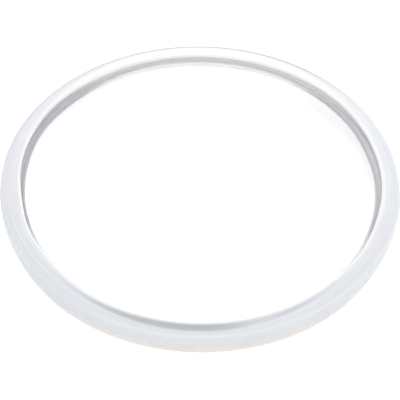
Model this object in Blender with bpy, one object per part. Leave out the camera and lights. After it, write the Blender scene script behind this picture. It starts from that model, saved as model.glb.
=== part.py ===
"""Sealing ring of a stovetop pressure cooker: one silicone moulding.

The ring lies on its base with its flange up and its bore along Z. Its section is
a C that opens towards the bore: a flat flange on top, an outer wall, and a thin
lip that rises from the base towards the flange. Steam enters the groove between
flange and lip and pushes the two apart, which is what seals the lid.

Units are metres. The origin is the centre of the base plane.
"""

import math

import bpy
from mathutils import Vector

# Driving dimensions of the ring
OUTER_DIAMETER = 0.240
RIM_DIAMETER = 0.220
HEIGHT = 0.016

# Flange
FLANGE_ROOT_THICKNESS = 0.0024
FLANGE_RIM_THICKNESS = 0.0015
FLANGE_EDGE_RADIUS = 0.0009
RIM_EDGE_RADIUS = 0.0006

# Outer wall, which draws in slightly below its knee
WALL_THICKNESS = 0.0046
WALL_KNEE_HEIGHT = 0.0058
WALL_KNEE_RADIUS = 0.006
WALL_DRAW_IN = 0.0012
FOOT_WIDTH = 0.0012
FOOT_EDGE_RADIUS = 0.0003

# Lip, from the foot up to its rounded tip
LIP_TIP_DROP = 0.0047
LIP_TIP_OVERHANG = 0.0029
LIP_TIP_THICKNESS = 0.0017
TIP_ROUNDNESS = 0.96
LIP_ROOT_THICKNESS = 0.0034

# Groove between flange and lip
GROOVE_TOP_RADIUS = 0.0010
GROOVE_ROOT_RADIUS = 0.0012

SEGMENTS = 96
SILICONE_COLOUR = (0.86, 0.88, 0.88, 1.0)
SILICONE_ROUGHNESS = 0.35


def clear_scene():
    for old in list(bpy.data.objects):
        bpy.data.objects.remove(old, do_unlink=True)


def section_corners():
    """The corners of the section as (radius, height, rounding, steps), from the rim outwards and round."""
    outer = OUTER_DIAMETER / 2
    rim = RIM_DIAMETER / 2
    groove_wall = outer - WALL_THICKNESS
    foot_outer = outer - WALL_DRAW_IN
    foot_inner = foot_outer - FOOT_WIDTH

    tip = Vector((rim - LIP_TIP_OVERHANG, HEIGHT - LIP_TIP_DROP))
    along = (Vector((foot_inner, 0.0)) - tip).normalized()
    across = Vector((-along.y, along.x))
    half_tip = LIP_TIP_THICKNESS / 2
    tip_below = tip - along * half_tip - across * half_tip
    tip_above = tip - along * half_tip + across * half_tip

    # The upper face of the lip thickens evenly from its tip to the groove wall.
    run = (groove_wall - tip_above.x) / along.x
    groove_root = tip_above.y + along.y * run + (LIP_ROOT_THICKNESS - LIP_TIP_THICKNESS) / along.x

    # Just under half the tip's thickness, so that its two arcs meet with a sliver of flat between them.
    tip_rounding = half_tip * TIP_ROUNDNESS

    return [
        (rim, HEIGHT, RIM_EDGE_RADIUS, 2),
        (outer, HEIGHT, FLANGE_EDGE_RADIUS, 2),
        (outer, WALL_KNEE_HEIGHT, WALL_KNEE_RADIUS, 1),
        (foot_outer, 0.0, FOOT_EDGE_RADIUS, 2),
        (foot_inner, 0.0, FOOT_EDGE_RADIUS, 1),
        (*tip_below, tip_rounding, 2),
        (*tip_above, tip_rounding, 2),
        (groove_wall, groove_root, GROOVE_ROOT_RADIUS, 2),
        (groove_wall, HEIGHT - FLANGE_ROOT_THICKNESS, GROOVE_TOP_RADIUS, 2),
        (rim, HEIGHT - FLANGE_RIM_THICKNESS, RIM_EDGE_RADIUS, 2),
    ]


def rounded_corner(before, corner, after, rounding, steps):
    """The arc of the given radius that touches both edges that meet at a corner."""
    to_before = (before - corner).normalized()
    to_after = (after - corner).normalized()
    half_angle = to_before.angle(to_after) / 2
    centre = corner + (to_before + to_after).normalized() * rounding / math.sin(half_angle)
    start = corner + to_before * rounding / math.tan(half_angle) - centre
    turn = start.angle_signed(corner + to_after * rounding / math.tan(half_angle) - centre)
    points = []
    for step in range(steps + 1):
        # Vector.angle_signed counts clockwise turns as positive.
        angle = -turn * step / steps
        spoke = Vector((
            start.x * math.cos(angle) - start.y * math.sin(angle),
            start.x * math.sin(angle) + start.y * math.cos(angle),
        ))
        points.append(centre + spoke)
    return points


def section_outline():
    corners = section_corners()
    places = [Vector(corner[:2]) for corner in corners]
    outline = []
    for index, (_, _, rounding, steps) in enumerate(corners):
        before = places[index - 1]
        after = places[(index + 1) % len(places)]
        outline += rounded_corner(before, places[index], after, rounding, steps)
    return outline


def silicone():
    material = bpy.data.materials.new("milky_silicone")
    material.use_nodes = True
    shader = material.node_tree.nodes["Principled BSDF"]
    shader.inputs["Base Color"].default_value = SILICONE_COLOUR
    shader.inputs["Roughness"].default_value = SILICONE_ROUGHNESS
    shader.inputs["Metallic"].default_value = 0.0
    return material


def add_sealing_ring():
    """Turns the section about Z with a Screw modifier."""
    outline = section_outline()
    points = [(place.x, 0.0, place.y) for place in outline]
    edges = [(index, (index + 1) % len(points)) for index in range(len(points))]
    mesh = bpy.data.meshes.new("sealing_ring")
    mesh.from_pydata(points, edges, [])
    mesh.materials.append(silicone())

    ring = bpy.data.objects.new("sealing_ring", mesh)
    bpy.context.scene.collection.objects.link(ring)
    turn = ring.modifiers.new("Turn", "SCREW")
    turn.axis = "Z"
    turn.angle = 2 * math.pi
    turn.steps = SEGMENTS
    turn.render_steps = SEGMENTS
    turn.use_smooth_shade = True
    turn.use_merge_vertices = True
    turn.merge_threshold = 0.00001
    return ring


clear_scene()
add_sealing_ring()
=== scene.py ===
"""Looks of a pressure cooker sealing ring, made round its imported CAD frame.

The ring is one silicone moulding. Its surface is a section outline carried once
round the axis, with what a real moulding has worked into the same surface: the
parting line, the gate marks, and the slack of a soft ring that lies on a table.
"""

from __future__ import annotations

import logging
import math
from dataclasses import dataclass, field
from enum import Enum
from typing import Any, Mapping, Sequence

import bpy
import numpy as np
from mathutils import Matrix, Vector

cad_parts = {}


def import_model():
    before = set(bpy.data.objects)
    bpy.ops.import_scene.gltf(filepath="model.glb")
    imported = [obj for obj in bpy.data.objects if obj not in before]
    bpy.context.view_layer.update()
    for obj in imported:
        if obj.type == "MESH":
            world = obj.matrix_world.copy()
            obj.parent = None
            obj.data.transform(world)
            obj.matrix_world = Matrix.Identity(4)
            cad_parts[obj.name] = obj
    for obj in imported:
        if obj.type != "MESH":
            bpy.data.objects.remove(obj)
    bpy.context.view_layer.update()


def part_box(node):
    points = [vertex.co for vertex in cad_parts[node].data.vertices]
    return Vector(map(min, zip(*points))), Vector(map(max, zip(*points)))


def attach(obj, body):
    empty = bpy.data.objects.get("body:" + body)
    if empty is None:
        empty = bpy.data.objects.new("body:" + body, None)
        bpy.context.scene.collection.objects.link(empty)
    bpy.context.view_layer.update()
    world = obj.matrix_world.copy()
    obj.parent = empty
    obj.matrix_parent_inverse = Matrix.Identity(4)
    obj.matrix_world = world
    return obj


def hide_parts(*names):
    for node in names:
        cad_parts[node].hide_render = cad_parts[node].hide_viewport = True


Array = np.ndarray
Colour = tuple[float, float, float, float]

LOG = logging.getLogger("sealing_ring")
MM = 0.001


# ---------------------------------------------------------------- shader maths


class Signal:
    """A shader socket that can stand in a Python expression."""

    def __init__(self, graph: ShaderGraph, socket: bpy.types.NodeSocket) -> None:
        """Wraps a socket.

        Args:
            graph: The graph that new nodes are added to.
            socket: The output socket that this signal reads.
        """
        self.graph = graph
        self.socket = socket

    def __add__(self, other: Signal | float) -> Signal:
        """The sum of two signals."""
        return self.graph.maths("ADD", self, other)

    __radd__ = __add__

    def __mul__(self, other: Signal | float) -> Signal:
        """The product of two signals."""
        return self.graph.maths("MULTIPLY", self, other)

    __rmul__ = __mul__

    def __sub__(self, other: Signal | float) -> Signal:
        """This signal less another."""
        return self.graph.maths("SUBTRACT", self, other)

    def __rsub__(self, other: Signal | float) -> Signal:
        """Another signal or number less this one."""
        return self.graph.maths("SUBTRACT", other, self)


class ShaderGraph:
    """The node tree of one material, written as expressions."""

    def __init__(self, name: str) -> None:
        """Starts a material with an empty node tree.

        Args:
            name: The material's name.
        """
        self.material = bpy.data.materials.new(name)
        self.material.use_nodes = True
        self.tree = self.material.node_tree
        self.tree.nodes.clear()

    def node(
        self,
        kind: str,
        settings: Mapping[str, Any] | None = None,
        inputs: Mapping[str | int, Any] | None = None,
        output: str | int = 0,
    ) -> Signal:
        """Adds a node, sets its settings first and then its sockets.

        Args:
            kind: The node's type without its ShaderNode prefix.
            settings: Its properties by name.
            inputs: Values or signals for its sockets, by name or index.
            output: The output that the signal reads.

        Returns:
            A signal that reads the node's output.
        """
        made = self.tree.nodes.new("ShaderNode" + kind)
        for name, value in (settings or {}).items():
            setattr(made, name, value)
        for key, value in (inputs or {}).items():
            if isinstance(value, Signal):
                self.tree.links.new(value.socket, made.inputs[key])
            else:
                made.inputs[key].default_value = value
        return Signal(self, made.outputs[output])

    def maths(self, operation: str, a: Signal | float, b: Signal | float) -> Signal:
        """One Math node on two values."""
        return self.node("Math", {"operation": operation}, {0: a, 1: b})

    def along(self, place: Signal, way: tuple[float, float, float]) -> Signal:
        """How far a place lies along a way: the sum of the products of their parts."""
        return self.node("VectorMath", {"operation": "DOT_PRODUCT"}, {0: place, 1: way}, output="Value")

    def smooth(self, value: Signal, ends: tuple[float, float]) -> Signal:
        """A soft step of value from 0 at the first end to 1 at the second."""
        inputs = {"Value": value, "From Min": ends[0], "From Max": ends[1]}
        return self.node("MapRange", {"interpolation_type": "SMOOTHSTEP"}, inputs)

    def blend(self, share: Signal | float, a: Signal | Colour, b: Signal | Colour) -> Signal:
        """Colour a where share is 0 and colour b where it is 1."""
        return self.node("Mix", {"data_type": "RGBA"}, {0: share, 6: a, 7: b}, output=2)

    def attribute(self, name: str) -> Signal:
        """The value of one of the mesh's own attributes."""
        return self.node("Attribute", {"attribute_name": name}, output="Fac")

    def noise(self, where: Signal, scale: float, detail: float = 2.0) -> Signal:
        """Soft noise from 0 to 1 with about scale lumps to the metre."""
        return self.node("TexNoise", None, {"Vector": where, "Scale": scale, "Detail": detail})

    def lines(self, where: Signal, scale: float, detail: float = 2.0) -> Signal:
        """Fine lines that follow one value, with about scale of them to the metre."""
        inputs = {"W": where, "Scale": scale, "Detail": detail}
        return self.node("TexNoise", {"noise_dimensions": "1D"}, inputs)

    def finish(self, surface: Signal) -> bpy.types.Material:
        """Links a shader to the material's output and gives the material back."""
        output = self.tree.nodes.new("ShaderNodeOutputMaterial")
        self.tree.links.new(surface.socket, output.inputs["Surface"])
        return self.material


# ------------------------------------------------------------------- finishes


@dataclass(frozen=True)
class Zone:
    """A part of the ring where light or shade is painted into the colour.

    Attributes:
        tone: The name of the mesh attribute that says where the zone is.
        tint: The colour that it leads to.
        share: How far it leads there, from 0 to 1.
    """

    tone: str
    tint: Colour
    share: float = 1.0


@dataclass(frozen=True)
class MilkySilicone:
    """Translucent silicone as it comes out of a polished mould.

    Light goes some millimetres into it, so narrow edges glow and the groove stays
    dim. The colour drifts a little in the bulk, and the surface has the fine
    turned lines and the slight orange peel of its mould. The zones paint light
    and shade into the colour on top.

    Attributes:
        milk: The colour of most of the bulk. It drifts to cloud in lumps, and to
            cool in broad bands that cross the ring on a slant.
        streak: The colour of the painted sheen streaks along the broader turned lines.
        zones: The light and shade painted into the colour by the ring's tones, in order.
        cloud_scale, band_scale, peel_scale, line_scale, streak_scale: How many
            of each pattern's lumps or lines go to the metre.
        band_way, band_shift: The way that the bands follow one another, and what
            sets them apart from the clouds.
        cloud_ends, streak_ends: The noise values where a pattern starts and is full.
        line_drift: How far a cloud moves the turned lines.
        cloud_share, cool_share: How far the colour drifts where a pattern is full.
        streak_share: A streak's share of the colour outside the cool bands. A
            full band adds as much again.
        roughness: The roughness of a streak. It is less by polish between the
            streaks, and more by haze in a cloud.
        peel_height, line_height: Their shares of relief_depth.
    """

    milk: Colour = (0.74, 0.755, 0.785, 1.0)
    cloud: Colour = (0.74, 0.73, 0.79, 1.0)
    cool: Colour = (0.69, 0.73, 0.755, 1.0)
    streak: Colour = (0.82, 0.83, 0.855, 1.0)
    zones: tuple[Zone, ...] = (
        # painted glow on the far part of the flange
        Zone("painted_far_glow", (0.865, 0.865, 0.80, 1.0), 0.85),
        # painted shade on the outer wall
        Zone("wall", (0.67, 0.69, 0.705, 1.0), 0.6),
        # painted shade on the outer flange, and along the rim at the back
        Zone("dim", (0.64, 0.65, 0.66, 1.0), 0.6),
        # painted warm shade near the table
        Zone("foot", (0.745, 0.68, 0.637, 1.0), 0.85),
        # painted dark line by the outer edge, and painted shade in the flange's corner
        Zone("edge", (0.42, 0.41, 0.40, 1.0)),
        # painted highlight along the rim
        Zone("rim", (0.97, 0.98, 1.0, 1.0)),
        # painted shade on the front of the flange, broken by painted glints
        Zone("crescent", (0.495, 0.509, 0.522, 1.0)),
        # painted light in the groove, less on the left
        Zone("painted_groove_light", (0.915, 0.91, 0.92, 1.0)),
        # painted warm light in the groove at the back
        Zone("warm", (0.96, 0.94, 0.92, 1.0)),
        # painted shade on the lip round its tip
        Zone("lip", (0.425, 0.425, 0.448, 1.0)),
    )
    cloud_scale: float = 32.0
    band_scale: float = 24.0
    peel_scale: float = 2600.0
    line_scale: float = 3400.0
    streak_scale: float = 800.0
    band_way: tuple[float, float, float] = (1 / 3, 1 / 3, 1 / 3)
    band_shift: float = 7.0
    cloud_ends: tuple[float, float] = (0.40, 0.62)
    streak_ends: tuple[float, float] = (0.45, 0.62)
    line_drift: float = 0.2 * MM
    cloud_share: float = 0.7
    cool_share: float = 0.5
    streak_share: float = 0.2
    roughness: float = 0.32
    polish: float = 0.07
    haze: float = 0.05
    peel_height: float = 0.5
    line_height: float = 0.12
    relief_depth: float = 0.05 * MM
    relief_strength: float = 0.12
    scatter_depth: float = 4.0 * MM
    refraction: float = 1.41

    def material(self) -> bpy.types.Material:
        """Builds the material.

        Returns:
            A Principled material driven by the ring's own attributes, with their painted light and shade.
        """
        graph = ShaderGraph("milky_silicone")
        place = graph.node("TexCoord", output="Object")
        clouds = graph.smooth(graph.noise(place, self.cloud_scale), self.cloud_ends)
        across = graph.along(place, self.band_way) + self.band_shift
        bands = graph.smooth(graph.noise(across, self.band_scale), self.cloud_ends)
        run = graph.attribute("run") + clouds * self.line_drift
        streaks = graph.smooth(graph.lines(run, self.streak_scale), self.streak_ends)

        colour = graph.blend(clouds * self.cloud_share, self.milk, self.cloud)
        colour = graph.blend(bands * self.cool_share, colour, self.cool)
        # Painted sheen: lighter streaks along the turned lines, which also change the real roughness below.
        colour = graph.blend(streaks * (bands + 1.0) * self.streak_share, colour, self.streak)
        # Each zone paints light or shade into the colour.
        for zone in self.zones:
            colour = graph.blend(graph.attribute(zone.tone) * zone.share, colour, zone.tint)

        shader = graph.node(
            "BsdfPrincipled",
            {"subsurface_method": "RANDOM_WALK"},
            {
                "Base Color": colour,
                "Roughness": self.roughness - (1.0 - streaks) * self.polish + clouds * self.haze,
                "IOR": self.refraction,
                "Subsurface Weight": 1.0,
                "Subsurface Radius": (1.0, 1.0, 1.0),
                "Subsurface Scale": self.scatter_depth,
                "Normal": self._relief(graph, place, run),
            },
        )
        return graph.finish(shader)

    def _relief(self, graph: ShaderGraph, place: Signal, run: Signal) -> Signal:
        """The bump of the orange peel and the finest turned lines.

        Args:
            graph: The graph that the nodes are added to.
            place: The point on the ring.
            run: The way along the section's outline.

        Returns:
            The normal.
        """
        peel = graph.noise(place, self.peel_scale, detail=1.0)
        height = peel * self.peel_height + graph.lines(run, self.line_scale) * self.line_height
        inputs = {"Strength": self.relief_strength, "Distance": self.relief_depth, "Height": height}
        return graph.node("Bump", None, inputs)


@dataclass(frozen=True)
class PaleTable:
    """The plain matt white that the ring lies on. Its roughness is a trace uneven."""

    colour: Colour = (0.90, 0.90, 0.90, 1.0)
    glow_colour: Colour = (1.0, 1.0, 1.0, 1.0)
    glow: float = 0.36
    roughness: float = 0.6
    unevenness: float = 0.05
    grain_scale: float = 4.0
    shine: float = 0.2

    def material(self) -> bpy.types.Material:
        """Builds the material.

        Returns:
            A matt Principled material with a faint glow.
        """
        graph = ShaderGraph("pale_table")
        place = graph.node("TexCoord", output="Object")
        inputs = {
            "Base Color": self.colour,
            "Roughness": graph.noise(place, self.grain_scale) * self.unevenness + self.roughness,
            "Specular IOR Level": self.shine,
            "Emission Color": self.glow_colour,
            "Emission Strength": self.glow,
        }
        return graph.finish(graph.node("BsdfPrincipled", None, inputs))


# -------------------------------------------------------------------- section


class Face(Enum):
    """The faces of the section, in the order that its outline passes them."""

    FLANGE = 0
    WALL = 1
    DRAWN_WALL = 2
    FOOT = 3
    LIP_UNDERSIDE = 4
    LIP_TIP = 5
    LIP_TOP = 6
    GROOVE_WALL = 7
    GROOVE_ROOF = 8
    RIM = 9


@dataclass
class Outline:
    """A closed section outline, sampled point by point.

    Attributes:
        radius: Each point's distance from the axis.
        height: Each point's height above the table.
        face: The value of the Face that each point belongs to.
        run: The way along the outline to each point.
        length: The outline's whole length.
    """

    radius: Array
    height: Array
    face: Array
    run: Array = field(init=False)
    length: float = field(init=False)

    def __post_init__(self) -> None:
        """Adds up the steps between the points."""
        steps = np.hypot(np.roll(self.radius, -1) - self.radius, np.roll(self.height, -1) - self.height)
        self.run = np.concatenate([[0.0], np.cumsum(steps[:-1])])
        self.length = float(steps.sum())

    def normals(self) -> tuple[Array, Array]:
        """The outward direction at each point: a quarter turn to the left of the way the outline runs.

        Returns:
            Its part away from the axis and its part upwards.
        """
        along_r = np.roll(self.radius, -1) - np.roll(self.radius, 1)
        along_z = np.roll(self.height, -1) - np.roll(self.height, 1)
        size = np.hypot(along_r, along_z)
        return -along_z / size, along_r / size

    def on(self, *faces: Face) -> Array:
        """A mask of the points on the given faces."""
        return np.isin(self.face, [face.value for face in faces])


@dataclass
class Section:
    """Sizes of the ring's section, in metres.

    The outer radius and the height come from the CAD node, and the wall stays a
    skin's thickness inside that radius. The lip's tip is rounded to tip_roundness
    of half its thickness. The steps are the distances between sampled points, and
    an arc has at least arc_points of them.
    """

    outer: float
    height: float
    skin: float = 0.12 * MM
    rim_inset: float = 10.0 * MM
    flange_root: float = 2.4 * MM
    flange_edge: float = 1.5 * MM
    flange_rounding: float = 0.9 * MM
    rim_rounding: float = 0.62 * MM
    wall: float = 4.6 * MM
    knee_height: float = 5.8 * MM
    knee_rounding: float = 6.0 * MM
    draw_in: float = 1.2 * MM
    foot_width: float = 1.2 * MM
    foot_rounding: float = 0.3 * MM
    tip_drop: float = 4.7 * MM
    tip_overhang: float = 2.9 * MM
    tip_thickness: float = 1.7 * MM
    tip_roundness: float = 0.97
    root_thickness: float = 3.4 * MM
    groove_rounding: float = 1.1 * MM
    arc_step: float = 0.16 * MM
    arc_points: int = 5
    flange_step: float = 0.28 * MM
    run_step: float = 0.55 * MM

    @property
    def rim(self) -> float:
        """Radius of the flange's inner rim."""
        return self.outer - self.rim_inset

    @property
    def tip_radius(self) -> float:
        """Radius of the lip's tip."""
        return self.rim - self.tip_overhang

    @property
    def tip_height(self) -> float:
        """Height of the lip's tip."""
        return self.height - self.tip_drop

    @property
    def groove_wall(self) -> float:
        """Radius of the groove's outer side."""
        return self.outer - self.wall

    def corners(self) -> list[tuple[Array, float, Face]]:
        """The section as (corner, rounding, the face that follows it), from the rim outwards.

        The lip is a strip between the foot's inner corner and its tip. Its upper
        face opens away from its underside, so that it thickens evenly to its root.

        Returns:
            The corners in the order that the outline passes them.
        """
        wall = self.outer - self.skin
        foot_outer = self.outer - self.draw_in
        foot_inner = foot_outer - self.foot_width
        roof = self.height - self.flange_root
        rim_underside = self.height - self.flange_edge
        tip = np.array([self.tip_radius, self.tip_height])
        along = np.array([foot_inner, 0.0]) - tip
        along /= np.hypot(*along)
        across = np.array([-along[1], along[0]])
        half = self.tip_thickness / 2
        tip_rounding = half * self.tip_roundness
        below = tip - along * half - across * half
        above = tip - along * half + across * half
        drop = along[1] / along[0] * (self.groove_wall - above[0])
        root = above[1] + drop + (self.root_thickness - self.tip_thickness) / along[0]
        return [
            (np.array([self.rim, self.height]), self.rim_rounding, Face.FLANGE),
            (np.array([wall, self.height]), self.flange_rounding, Face.WALL),
            (np.array([wall, self.knee_height]), self.knee_rounding, Face.DRAWN_WALL),
            (np.array([foot_outer, 0.0]), self.foot_rounding, Face.FOOT),
            (np.array([foot_inner, 0.0]), self.foot_rounding, Face.LIP_UNDERSIDE),
            (below, tip_rounding, Face.LIP_TIP),
            (above, tip_rounding, Face.LIP_TOP),
            (np.array([self.groove_wall, root]), self.groove_rounding, Face.GROOVE_WALL),
            (np.array([self.groove_wall, roof]), self.groove_rounding, Face.GROOVE_ROOF),
            (np.array([self.rim, rim_underside]), self.rim_rounding, Face.RIM),
        ]

    def _arc(self, before: Array, corner: Array, after: Array, rounding: float) -> Array:
        """The arc that rounds a corner: it touches both edges and is sampled evenly by angle.

        Its centre lies on the corner's bisector, rounding / sin(half the corner's
        angle) from the corner, and it touches the edges rounding / tan(the same)
        from the corner.

        Args:
            before: The corner before this one.
            corner: The corner to round.
            after: The corner after this one.
            rounding: The arc's radius.

        Returns:
            The arc's points, as (points, 2).
        """
        to_before = (before - corner) / np.hypot(*(before - corner))
        to_after = (after - corner) / np.hypot(*(after - corner))
        half_angle = math.acos(float(np.clip(to_before @ to_after, -1, 1))) / 2
        middle = to_before + to_after
        centre = corner + middle / np.hypot(*middle) * rounding / math.sin(half_angle)
        start = corner + to_before * rounding / math.tan(half_angle) - centre
        end = corner + to_after * rounding / math.tan(half_angle) - centre
        turn = math.atan2(start[0] * end[1] - start[1] * end[0], float(start @ end))
        count = max(self.arc_points, math.ceil(abs(turn) * rounding / self.arc_step) + 1)
        angle = np.linspace(0.0, turn, count)
        return centre + np.stack(
            [
                start[0] * np.cos(angle) - start[1] * np.sin(angle),
                start[0] * np.sin(angle) + start[1] * np.cos(angle),
            ],
            axis=1,
        )

    def outline(self) -> Outline:
        """Rounds every corner and samples the straight runs between the arcs.

        Returns:
            The closed outline. An arc's first half belongs to the face before its
            corner, and its second half to the face after it.
        """
        corners = self.corners()
        places = [place for place, _, _ in corners]
        arcs = [
            self._arc(places[i - 1], places[i], places[(i + 1) % len(places)], corners[i][1])
            for i in range(len(corners))
        ]
        points, faces = [], []
        for i, arc in enumerate(arcs):
            following = arcs[(i + 1) % len(arcs)][0]
            step = self.flange_step if corners[i][2] is Face.FLANGE else self.run_step
            count = max(2, math.ceil(float(np.hypot(*(following - arc[-1]))) / step))
            share = np.linspace(0.0, 1.0, count, endpoint=False)[1:, None]
            run = arc[-1] + (following - arc[-1]) * share
            half = len(arc) // 2
            points += [arc, run]
            faces += [corners[i - 1][2].value] * half + [corners[i][2].value] * (len(arc) - half + len(run))
        sampled = np.concatenate(points)
        return Outline(sampled[:, 0], sampled[:, 1], np.array(faces))


# ------------------------------------------------------- bands and stretches


def bell(value: Array, middle: float | Array, width: float | Array) -> Array:
    """A bell curve: 1 at middle and about a third one width away."""
    return np.exp(-(((value - middle) / width) ** 2))


def angle_from(angle: Array, middle: float) -> Array:
    """The signed way round from a middle angle in degrees, between minus and plus half a turn."""
    return (angle - math.radians(middle) + math.pi) % (2 * math.pi) - math.pi


@dataclass(frozen=True)
class Ramp:
    """A soft step: 0 up to low, 1 from high on, and 3 t squared less 2 t cubed between them."""

    low: float
    high: float

    def at(self, value: Array) -> Array:
        """The step at each value."""
        share = np.clip((value - self.low) / (self.high - self.low), 0.0, 1.0)
        return share * share * (3.0 - 2.0 * share)


@dataclass(frozen=True)
class Stretch:
    """A stretch of the way round, with an effect that is strongest at its middle.

    Attributes:
        middle: The angle of its middle, in degrees.
        width: The degrees over which the effect falls to about a third.
        size: The effect at its middle.
    """

    middle: float
    width: float
    size: float = 1.0

    def at(self, angle: Array) -> Array:
        """The effect at each angle: a bell curve round the middle."""
        return self.size * bell(angle_from(angle, self.middle), 0.0, math.radians(self.width))


@dataclass(frozen=True)
class Ripple:
    """A level with waves round the ring: cosines of (waves to the turn, size, phase)."""

    level: float
    waves: tuple[tuple[int, float, float], ...]

    def at(self, angle: Array) -> Array:
        """The level with its waves at each angle."""
        return self.level + sum(size * np.cos(count * angle + phase) for count, size, phase in self.waves)


# -------------------------------------------------------------- marks and slack


@dataclass(frozen=True)
class MouldMarks:
    """What the mould leaves in the surface.

    A thin line of flash stands out where the wall's two mould halves part, a
    shallow witness line runs round the flange, and each gate leaves a dimple in
    the wall.

    Attributes:
        gates: The gates' angles in degrees.
        flash: How the parting line's height wavers round the ring.
    """

    gates: tuple[float, ...] = (60.0, 120.0)
    gate_level: float = 4.2 * MM
    gate_radius: float = 1.1 * MM
    gate_depth: float = 0.14 * MM
    parting_height: float = 0.10 * MM
    parting_width: float = 0.16 * MM
    witness_inset: float = 1.75 * MM
    witness_depth: float = 0.05 * MM
    witness_width: float = 0.30 * MM
    flash: Ripple = Ripple(0.75, ((9, 0.12, 0.2), (23, 0.08, 1.9), (41, 0.05, 0.6)))

    def relief(self, section: Section, outline: Outline, angle: Array) -> Array:
        """How far every grid point stands out along its normal.

        A gate's dimple is a parabola: its depth is d (2 - d), where d is 1 at the
        gate's centre and 0 at its edge.

        Args:
            section: The ring's section.
            outline: The section's outline.
            angle: The grid's angles as a column.

        Returns:
            The relief, less than 0 where the surface is sunk.
        """
        on_wall = outline.on(Face.WALL, Face.DRAWN_WALL)
        on_flange = outline.on(Face.FLANGE)
        parting = bell(outline.height, section.knee_height, self.parting_width) * on_wall
        witness = bell(outline.radius, section.outer - self.witness_inset, self.witness_width) * on_flange
        relief = self.parting_height * self.flash.at(angle) * parting - self.witness_depth * witness
        for gate in self.gates:
            across = angle_from(angle, gate) * section.outer
            away = np.hypot(across, outline.height - self.gate_level) / self.gate_radius
            dimple = np.clip(1.0 - away, 0.0, 1.0)
            relief = relief - self.gate_depth * on_wall * dimple * (2.0 - dimple)
        return relief


@dataclass(frozen=True)
class Slack:
    """How the soft ring lies: its edges wander and droop, and its wall isn't quite round.

    Attributes:
        rim: Where the rim has come inwards, or outwards where the size is less than 0.
        lip: The same for the lip.
        wall: The same for the wall.
        ease: How far inwards rim and lip have come all round.
        droop: How far the free edges hang at most.
        sag: The rim's share of the droop. The lip takes lip_share of what is left.
        lean: Where the lip hangs lower, and by how much.
    """

    rim: tuple[Stretch, ...] = (
        Stretch(192.0, 13.0, 1.9 * MM),
        Stretch(216.0, 11.0, 1.2 * MM),
        Stretch(149.0, 15.0, -1.2 * MM),
        Stretch(40.0, 20.0, -0.8 * MM),
        Stretch(340.0, 13.0, 0.9 * MM),
        Stretch(314.0, 12.0, 0.8 * MM),
    )
    lip: tuple[Stretch, ...] = (
        Stretch(14.0, 10.0, 0.5 * MM),
        Stretch(72.0, 15.0, -0.9 * MM),
        Stretch(102.0, 17.0, -0.8 * MM),
        Stretch(158.0, 12.0, -1.0 * MM),
        Stretch(266.0, 46.0, -0.8 * MM),
    )
    wall: tuple[Stretch, ...] = (
        Stretch(347.0, 7.5, -0.75 * MM),
        Stretch(193.0, 7.5, -0.5 * MM),
        Stretch(215.0, 9.0, 0.45 * MM),
        Stretch(325.0, 9.0, 0.45 * MM),
    )
    ease: float = 0.40 * MM
    droop: float = 0.22 * MM
    sag: Ripple = Ripple(0.5, ((3, 0.22, 0.4), (5, 0.16, 2.1), (8, 0.10, 4.0)))
    lip_share: float = 0.8
    lean: Stretch = Stretch(266.0, 46.0, 0.6 * MM)

    def moved(self, section: Section, outline: Outline, angle: Array) -> tuple[Array, Array]:
        """Moves every grid point as the soft ring has moved.

        The free edges hang from the wall, so rim and lip move with the square of
        the distance from it, and the wall's own bulge fades over that distance.

        Args:
            section: The ring's section.
            outline: The section's outline.
            angle: The grid's angles as a column.

        Returns:
            The points' radius and height.
        """
        hang = section.groove_wall - section.rim
        reach = np.clip((section.groove_wall - outline.radius) / hang, 0.0, 1.0)
        free = reach**2
        on_flange = outline.on(Face.FLANGE, Face.GROOVE_ROOF, Face.RIM)
        on_lip = outline.on(Face.LIP_UNDERSIDE, Face.LIP_TIP, Face.LIP_TOP)
        rim_pull = sum(stretch.at(angle) for stretch in self.rim) * on_flange
        lip_pull = sum(stretch.at(angle) for stretch in self.lip) * on_lip
        bulge = sum(stretch.at(angle) for stretch in self.wall) * (1.0 - reach)
        sag = self.sag.at(angle)
        fall = self.droop * (sag * on_flange + self.lip_share * (1.0 - sag) * on_lip)
        radius = outline.radius - bulge - free * (self.ease + rim_pull + lip_pull)
        height = outline.height - free * (fall + self.lean.at(angle) * on_lip)
        return radius, height


# ----------------------------------------------------------------------- painted light and shade


@dataclass(frozen=True)
class Crescent:
    """The painted shade patch on the front of the flange: widest at its middle, narrower towards both ends.

    Attributes:
        middle, half: Its middle and half its length, in degrees.
        inset: From the rim to its inner edge.
        depth: Its width across the flange at its middle.
        taper: The power of a cosine that narrows it towards its ends.
        inner_edge, outer_edge: How softly it starts and ends across the flange.
        broken: Where thin glints break it up.
        glint_spacing: From one glint to the next, across the flange.
        glint_slant: How far a glint shifts across the flange in one radian.
        glint_level, glint_swing: How bright the glints are, and how unevenly.
    """

    middle: float = 269.0
    half: float = 56.0
    inset: float = 1.7 * MM
    depth: float = 4.2 * MM
    taper: float = 1.8
    inner_edge: Ramp = Ramp(-1.1 * MM, 0.9 * MM)
    outer_edge: Ramp = Ramp(-1.3 * MM, 1.3 * MM)
    broken: Stretch = Stretch(288.0, 8.0)
    # broken: Where fine painted glints break it up.
    glint_spacing: float = 1.4 * MM
    glint_slant: float = 3.0 * MM
    glint_level: float = 0.5
    glint_swing: float = 0.4

    def at(self, radius: Array, rim: float, angle: Array) -> Array:
        """The patch at each point of the flange.

        Args:
            radius: The points' distance from the axis.
            rim: The radius of the flange's rim.
            angle: The grid's angles as a column.

        Returns:
            Its strength from 0 to 1: a band across the flange, times a cosine along it.
        """
        away = angle_from(angle, self.middle) / math.radians(self.half)
        strength = np.cos(np.clip(away, -1.0, 1.0) * math.pi / 2)
        across = radius - rim - self.inset
        band = self.inner_edge.at(across) * self.outer_edge.at(self.depth * strength**self.taper - across)
        turns = (radius + self.glint_slant * angle) / self.glint_spacing
        glints = self.glint_level + self.glint_swing * np.cos(2 * math.pi * turns)
        return band * strength * (1.0 - glints * self.broken.at(angle))


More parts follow.
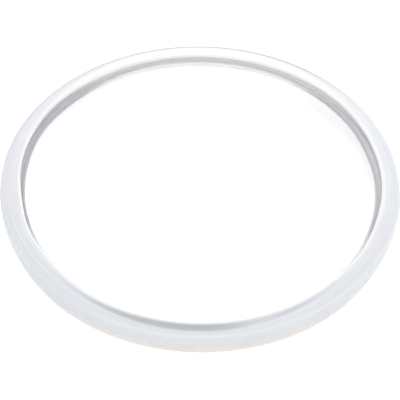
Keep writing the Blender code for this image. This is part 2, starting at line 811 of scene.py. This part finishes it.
@dataclass(frozen=True)
class PaintedTones:
    """Painted light and shade: where the colour is lighter or darker than the bulk, as values from 0 to 1.

    Each tone is a band across the section times a stretch of the way round. Bands
    are ramps or bell curves of the distance from the flange's rim, its outer edge,
    the table or the lip's tip. A name that ends in _round is a ramp of how far back
    a point lies: 1 at the back of the ring, 0 at its sides and -1 at its front.

    Attributes:
        left: How far left a point lies: a ramp over -1 at the right to 1 at the left.
        shade, shade_round: The painted shade along the rim, at the back.
        glow, glow_round: The painted glow on the far part of the flange. It ends
        glow_inset out from the rim at the sides and glow_reach further out at
        the back, by a power of how far back a point lies, glow_taper.
        line_inset, line_width: The painted highlight along the rim: a bell curve
        across the flange. Both are (on the right, less on the left, less
        in front), and the inset is at least line_least.
        halo: The painted highlight's faint surround, as (inset, width, share).
        line_front: What the line loses in front.
        edge_inset, edge_width, edge_round: The narrow painted dark line near the outer edge.
        edge_level, edge_back, edge_right, edge_gap: Its strength all round, what
            the back adds to it, where it is stronger and where it is weaker.
        corner_drop, corner_inset, corner: The painted shade in the corner of flange and
        wall: how far down and in it reaches, and where it is seen.
        dim, dim_round, dim_share: The painted shade on the outer part of the flange, but for the back.
        warm_height, warm_least, warm_power: The painted warm shade at the foot, which
        grows from warm_least to 1 towards the front, by a power.
        lip_low, lip_top: Where the lip's face has painted shade, below and above its tip.
        lip_round, lip_end_round: Where that starts at the sides and ends at the back.
        warm_lip, warm_lip_round, warm_lip_share: The painted warm shade under the lip's tip.
        hollow_left: What the painted light in the groove loses on the left.
        warm_groove_round: Where the groove gets painted warm light.
        crescent: The painted shade patch on the front of the flange.
    """

    left: Ramp = Ramp(-0.2, 0.8)
    shade: Ramp = Ramp(0.4 * MM, 1.6 * MM)
    shade_round: Ramp = Ramp(0.1, 0.5)
    glow_inset: float = 1.0 * MM
    glow_reach: float = 7.1 * MM
    glow_taper: float = 1.6
    glow: Ramp = Ramp(-1.2 * MM, 1.2 * MM)
    glow_round: Ramp = Ramp(0.0, 0.3)
    line_inset: tuple[float, float, float] = (1.0 * MM, 0.5 * MM, 0.7 * MM)
    line_least: float = 0.3 * MM
    line_width: tuple[float, float, float] = (1.1 * MM, 0.35 * MM, 0.2 * MM)
    halo: tuple[float, float, float] = (2.8 * MM, 1.6 * MM, 0.25)
    line_front: float = 0.9
    edge_inset: float = 1.4 * MM
    edge_width: float = 0.85 * MM
    edge_round: Ramp = Ramp(-0.05, 0.45)
    edge_level: float = 0.2
    edge_back: float = 0.5
    edge_right: Stretch = Stretch(60.0, 25.2, 0.2)
    edge_gap: Stretch = Stretch(17.2, 17.2, 0.8)
    corner_drop: Ramp = Ramp(0.5 * MM, 1.3 * MM)
    corner_inset: Ramp = Ramp(0.6 * MM, 1.3 * MM)
    corner: Stretch = Stretch(148.0, 43.0, 0.75)
    dim: Ramp = Ramp(1.8 * MM, 3.4 * MM)
    dim_round: Ramp = Ramp(0.2, 0.7)
    dim_share: float = 0.5
    warm_height: Ramp = Ramp(0.0, 12.0 * MM)
    warm_least: float = 0.1
    warm_power: float = 4.0
    lip_low: Ramp = Ramp(3.0 * MM, 8.0 * MM)
    lip_top: Ramp = Ramp(-0.5 * MM, 3.0 * MM)
    lip_round: Ramp = Ramp(-0.62, -0.30)
    lip_end_round: Ramp = Ramp(0.66, 0.9)
    warm_lip: Ramp = Ramp(-0.4 * MM, 0.5 * MM)
    warm_lip_round: Ramp = Ramp(0.5, 0.8)
    warm_lip_share: float = 0.7
    hollow_left: float = 0.45
    warm_groove_round: Ramp = Ramp(0.55, 0.95)
    crescent: Crescent = Crescent()

    def at(self, section: Section, outline: Outline, angle: Array) -> dict[str, Array]:
        """Works out every tone on the grid of angles by outline points.

        Args:
            section: The ring's section.
            outline: The section's outline.
            angle: The grid's angles as a column.

        Returns:
            For each tone that the finish reads, values that stretch over the whole grid.
        """
        even = np.ones_like(angle)
        far = np.sin(angle)
        back = np.clip(far, 0.0, 1.0)
        left = self.left.at(-np.cos(angle))
        on_flange = outline.on(Face.FLANGE)
        on_wall = outline.on(Face.WALL, Face.DRAWN_WALL, Face.FOOT)
        in_groove = outline.on(Face.LIP_TOP, Face.GROOVE_WALL, Face.GROOVE_ROOF, Face.RIM)
        beyond_rim = outline.radius - section.rim
        shade = (1.0 - self.shade.at(beyond_rim)) * self.shade_round.at(back)
        dim = (1.0 - self.dim.at(section.outer - outline.radius)) * (1.0 - self.dim_round.at(back))
        warm_foot = on_wall * self._foot_warmth(outline.height, far)
        edge_line = on_flange * self._edge_line(section.outer - outline.radius, angle)
        # All of these but run are painted light and shade.
        return {
            "painted_far_glow": on_flange * self._glow(beyond_rim, back),
            "wall": even * on_wall,
            "dim": on_flange * np.maximum(self.dim_share * dim, shade),
            "foot": np.maximum(warm_foot, self._lip_warmth(section, outline, back)),
            "edge": np.maximum(edge_line, self._corner(section, outline, angle)),
            "rim": on_flange * self._rim_line(beyond_rim, left, far) * (1.0 - shade),
            "crescent": on_flange * self.crescent.at(outline.radius, section.rim, angle),
            "painted_groove_light": in_groove * (1.0 - self.hollow_left * left),
            "warm": in_groove * self.warm_groove_round.at(back),
            "lip": self._dim_lip(section, outline, far),
            "run": even * outline.run,
        }

    def _glow(self, beyond_rim: Array, back: Array) -> Array:
        """The painted glow on the far part of the flange, which is widest at the back."""
        end = self.glow_inset + self.glow_reach * back**self.glow_taper
        return (1.0 - self.glow.at(beyond_rim - end)) * self.glow_round.at(back)

    def _rim_line(self, beyond_rim: Array, left: Array, far: Array) -> Array:
        """The painted highlight along the rim, which narrows on the left and fades in front.

        Args:
            beyond_rim: How far out from the rim each outline point lies.
            left: How far left each angle lies, from 0 to 1.
            far: How far back each angle lies, from -1 to 1.

        Returns:
            The line with its halo: the larger of two bell curves across the flange.
        """
        front = np.clip(-far, 0.0, 1.0)
        inset = self.line_inset[0] - self.line_inset[1] * left - self.line_inset[2] * front
        width = self.line_width[0] - self.line_width[1] * left - self.line_width[2] * front
        line = bell(beyond_rim, np.maximum(inset, self.line_least), width)
        halo_inset, halo_width, halo_share = self.halo
        line = np.maximum(line, halo_share * bell(beyond_rim, halo_inset, halo_width))
        return line * (1.0 - self.line_front * front)

    def _edge_line(self, inset: Array, angle: Array) -> Array:
        """The narrow painted dark line near the flange's outer edge, in the back half of the ring.

        Args:
            inset: How far in from the outer edge each outline point lies.
            angle: The grid's angles as a column.

        Returns:
            A bell curve across the flange, times its strength at each angle.
        """
        far = np.sin(angle)
        line = bell(inset, self.edge_inset, self.edge_width)
        level = self.edge_level + self.edge_back * np.clip(far, 0.0, 1.0) ** 2 + self.edge_right.at(angle)
        return line * level * self.edge_round.at(far) * (1.0 - self.edge_gap.at(angle))

    def _corner(self, section: Section, outline: Outline, angle: Array) -> Array:
        """The painted shade in the rounded corner between flange and wall, at the back left.

        Args:
            section: The ring's section.
            outline: The section's outline.
            angle: The grid's angles as a column.

        Returns:
            The product of a ramp down the corner, a ramp into it and a stretch.
        """
        drop = 1.0 - self.corner_drop.at(section.height - outline.height)
        inset = 1.0 - self.corner_inset.at(section.outer - outline.radius)
        return outline.on(Face.FLANGE, Face.WALL) * drop * inset * self.corner.at(angle)

    def _foot_warmth(self, height: Array, far: Array) -> Array:
        """The painted warm shade that fades up the wall, mostly in front.

        Args:
            height: Each outline point's height above the table.
            far: How far back each angle lies, from -1 to 1.

        Returns:
            A ramp up the wall, times a power of how far in front a point lies.
        """
        front = np.clip(-far, 0.0, 1.0)
        stretch = self.warm_least + (1.0 - self.warm_least) * front**self.warm_power
        return (1.0 - self.warm_height.at(height)) * stretch

    def _lip_warmth(self, section: Section, outline: Outline, back: Array) -> Array:
        """The painted warm shade under the lip's tip, at the back.

        Args:
            section: The ring's section.
            outline: The section's outline.
            back: How far back each angle lies, from 0 to 1.

        Returns:
            A ramp down from the tip, times a ramp towards the back.
        """
        above_tip = outline.height - section.tip_height
        under = outline.on(Face.LIP_TIP, Face.LIP_UNDERSIDE) * (1.0 - self.warm_lip.at(above_tip))
        return self.warm_lip_share * under * self.warm_lip_round.at(back)

    def _dim_lip(self, section: Section, outline: Outline, far: Array) -> Array:
        """The painted shade on the lip's faces round its tip, but for the front and the back.

        Args:
            section: The ring's section.
            outline: The section's outline.
            far: How far back each angle lies, from -1 to 1.

        Returns:
            The larger of a ramp below the tip and a ramp above it, times the stretch.
        """
        low = outline.on(Face.LIP_TIP, Face.LIP_UNDERSIDE) * self.lip_low.at(outline.height)
        top = outline.on(Face.LIP_TOP) * (1.0 - self.lip_top.at(outline.radius - section.tip_radius))
        return np.maximum(low, top) * self.lip_round.at(far) * (1.0 - self.lip_end_round.at(far))


# ------------------------------------------------------------------------ ring


@dataclass
class SealingRing:
    """The ring: a section carried round the axis, with the marks and slack of a real one.

    Attributes:
        section, marks, slack, tones: The parts that the ring is worked out from.
        columns: Even steps round the ring.
        gate_columns, gate_span: How many more steps each gate gets, and how far
            they reach on both sides of it, in gate radii.
    """

    section: Section
    marks: MouldMarks = MouldMarks()
    slack: Slack = Slack()
    tones: PaintedTones = PaintedTones()
    columns: int = 420
    gate_columns: int = 13
    gate_span: float = 1.6

    def angles(self) -> Array:
        """Even angles round the ring, with more of them where the gate marks are.

        Returns:
            The angles in radians, sorted.
        """
        even = np.linspace(0.0, 2 * math.pi, self.columns, endpoint=False)
        span = self.gate_span * self.marks.gate_radius / self.section.outer
        across = np.linspace(-span, span, self.gate_columns)
        near = [math.radians(gate) + across for gate in self.marks.gates]
        return np.unique(np.concatenate([even, *near]))

    def surface(self) -> tuple[Array, Outline, Array]:
        """Works out the ring's surface as a grid of angles by outline points.

        A point lies at its outline radius and height, turned to its angle. The
        slack moves it, and the mould's marks stand out along the outline's normal.

        Returns:
            The points as (angles, outline points, 3), the outline, and the angles.
        """
        outline = self.section.outline()
        angle = self.angles()[:, None]
        radius, height = self.slack.moved(self.section, outline, angle)
        out_r, out_z = outline.normals()
        relief = self.marks.relief(self.section, outline, angle)
        radius = radius + out_r * relief
        height = height + out_z * relief
        points = np.stack([radius * np.cos(angle), radius * np.sin(angle), height], axis=2)
        return points, outline, angle[:, 0]

    def build(self) -> bpy.types.Object:
        """Makes the ring's mesh from its surface grid.

        Each cell of the grid is one four-sided face, and both ways round the grid
        close on themselves, so the mesh is one closed skin.

        Returns:
            The new object, smooth shaded, with its tones and a UV map.
        """
        points, outline, angle = self.surface()
        turns, steps = points.shape[:2]
        i, j = np.meshgrid(np.arange(turns), np.arange(steps), indexing="ij")
        next_i, next_j = (i + 1) % turns, (j + 1) % steps
        corners = [(i, j), (i, next_j), (next_i, next_j), (next_i, j)]
        cells = np.stack([a * steps + b for a, b in corners], axis=2)
        mesh = bpy.data.meshes.new("sealing_ring_skin")
        mesh.from_pydata(points.reshape(-1, 3), [], cells.reshape(-1, 4))
        mesh.polygons.foreach_set("use_smooth", np.ones(turns * steps, bool))
        for name, values in self.tones.at(self.section, outline, angle[:, None]).items():
            tone = mesh.attributes.new(name, "FLOAT", "POINT")
            tone.data.foreach_set("value", values.reshape(-1).astype(np.float32))
        self._unwrap(mesh, angle, outline)
        mesh.update()
        ring = bpy.data.objects.new("sealing_ring_skin", mesh)
        bpy.context.scene.collection.objects.link(ring)
        return ring

    def _unwrap(self, mesh: bpy.types.Mesh, angle: Array, outline: Outline) -> None:
        """Lays the skin out flat: U goes once round the ring and V once round the section.

        Args:
            mesh: The skin's mesh.
            angle: The grid's angles.
            outline: The section's outline.
        """
        u = np.append(angle / (2 * math.pi), 1.0)
        v = np.append(outline.run / outline.length, 1.0)
        i, j = np.meshgrid(np.arange(len(angle)), np.arange(len(outline.run)), indexing="ij")
        corners = [(i, j), (i, j + 1), (i + 1, j + 1), (i + 1, j)]
        flat = np.stack([np.stack([u[a], v[b]], axis=2) for a, b in corners], axis=2)
        layer = mesh.uv_layers.new(name="skin")
        layer.data.foreach_set("uv", flat.reshape(-1).astype(np.float32))

    def dress(self, ring: bpy.types.Object, finish: MilkySilicone) -> None:
        """Gives the ring its finish and ties it to the CAD body.

        Args:
            ring: The object that build made.
            finish: The silicone's finish.
        """
        ring.data.materials.append(finish.material())
        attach(ring, "root")
        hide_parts("sealing_ring")
        LOG.info("%s: %d faces", ring.name, len(ring.data.polygons))


# --------------------------------------------------------------------- studio


@dataclass(frozen=True)
class SoftLight:
    """A rectangular soft box that faces a point."""

    name: str
    place: tuple[float, float, float]
    target: tuple[float, float, float]
    width: float
    depth: float
    power: float
    tint: tuple[float, float, float] = (1.0, 1.0, 1.0)

    def add(self) -> None:
        """Puts the light in the scene."""
        data = bpy.data.lights.new(self.name, "AREA")
        data.shape = "RECTANGLE"
        data.size, data.size_y = self.width, self.depth
        data.energy = self.power
        data.color = self.tint
        lamp = bpy.data.objects.new(self.name, data)
        lamp.location = self.place
        lamp.rotation_euler = (Vector(self.target) - Vector(self.place)).to_track_quat("-Z", "Y").to_euler()
        bpy.context.scene.collection.objects.link(lamp)


@dataclass
class Studio:
    """A pale table, soft light and the camera.

    Attributes:
        top: The height of the ring's flange. The camera's distance and elevation
            are measured from the centre at that height.
        aim_in_front: How far before that centre the camera aims.
        lens, sensor: The camera's focal length and sensor width in millimetres.
        roll: How far the camera is turned about its own axis.
        floor_half, floor_cells, floor_gap: Half the table's side, its cells to
            the side, and how far it lies below the ring's foot.
        sky, sky_strength: The light that comes evenly from all sides.
    """

    top: float
    camera_distance: float = 0.72
    camera_elevation: float = math.radians(46.5)
    aim_in_front: float = 20.4 * MM
    lens: float = 107.2
    sensor: float = 36.0
    roll: float = math.radians(1.09)
    floor_half: float = 4.0
    floor_cells: int = 8
    floor_gap: float = 0.05 * MM
    sky: Colour = (1.0, 1.0, 1.0, 1.0)
    sky_strength: float = 0.47
    lights: tuple[SoftLight, ...] = (
        SoftLight("back_box", (0.0, 1.0, 0.66), (0.0, 0.0, 0.0), 1.9, 0.35, 8.0),
        SoftLight("overhead_box", (0.45, 0.1, 1.2), (0.0, 0.0, 0.0), 1.2, 1.2, 4.7),
        SoftLight("front_box", (-0.1, -1.1, 0.95), (0.0, 0.0, 0.0), 1.2, 0.6, 6.3, (0.975, 0.99, 1.0)),
    )

    def add_floor(self) -> None:
        """A flat grid under the ring, a hair below its foot."""
        line = np.linspace(-self.floor_half, self.floor_half, self.floor_cells + 1)
        x, y = np.meshgrid(line, line, indexing="ij")
        points = np.stack([x, y, np.full_like(x, -self.floor_gap)], axis=2).reshape(-1, 3)
        row = self.floor_cells + 1
        i, j = np.meshgrid(np.arange(self.floor_cells), np.arange(self.floor_cells), indexing="ij")
        first = i * row + j
        cells = np.stack([first, first + row, first + row + 1, first + 1], axis=2).reshape(-1, 4)
        mesh = bpy.data.meshes.new("table")
        mesh.from_pydata(points, [], cells)
        mesh.materials.append(PaleTable().material())
        floor = bpy.data.objects.new("table", mesh)
        bpy.context.scene.collection.objects.link(floor)

    def add_light(self) -> None:
        """An even sky with soft boxes behind and above the ring."""
        world = bpy.data.worlds.new("soft_sky")
        world.use_nodes = True
        background = world.node_tree.nodes["Background"]
        background.inputs["Color"].default_value = self.sky
        background.inputs["Strength"].default_value = self.sky_strength
        bpy.context.scene.world = world
        for light in self.lights:
            light.add()

    def add_camera(self) -> None:
        """A long lens that looks down at the ring from the front, aimed a little before its centre."""
        data = bpy.data.cameras.new("camera")
        data.lens = self.lens
        data.sensor_width = self.sensor
        back = Vector((0.0, -math.cos(self.camera_elevation), math.sin(self.camera_elevation)))
        centre = Vector((0.0, 0.0, self.top))
        place = centre + back * self.camera_distance
        aim = centre - Vector((0.0, self.aim_in_front, 0.0))
        turn = (aim - place).to_track_quat("-Z", "Y").to_matrix() @ Matrix.Rotation(self.roll, 3, "Z")
        camera = bpy.data.objects.new("camera", data)
        camera.location = place
        camera.rotation_euler = turn.to_euler()
        bpy.context.scene.collection.objects.link(camera)
        bpy.context.scene.camera = camera

    def build(self) -> None:
        """Adds the table, the light and the camera."""
        self.add_floor()
        self.add_light()
        self.add_camera()
        bpy.context.scene.view_settings.view_transform = "Standard"


# ----------------------------------------------------------------------- main


def main() -> None:
    """Loads the frame, then builds the ring and the studio round it."""
    logging.basicConfig(level=logging.INFO, format="%(name)s: %(message)s")
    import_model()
    _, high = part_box("sealing_ring")
    maker = SealingRing(Section(outer=high.x, height=high.z))
    ring = maker.build()
    maker.dress(ring, MilkySilicone())
    Studio(top=high.z).build()


if __name__ == "__main__":
    main()
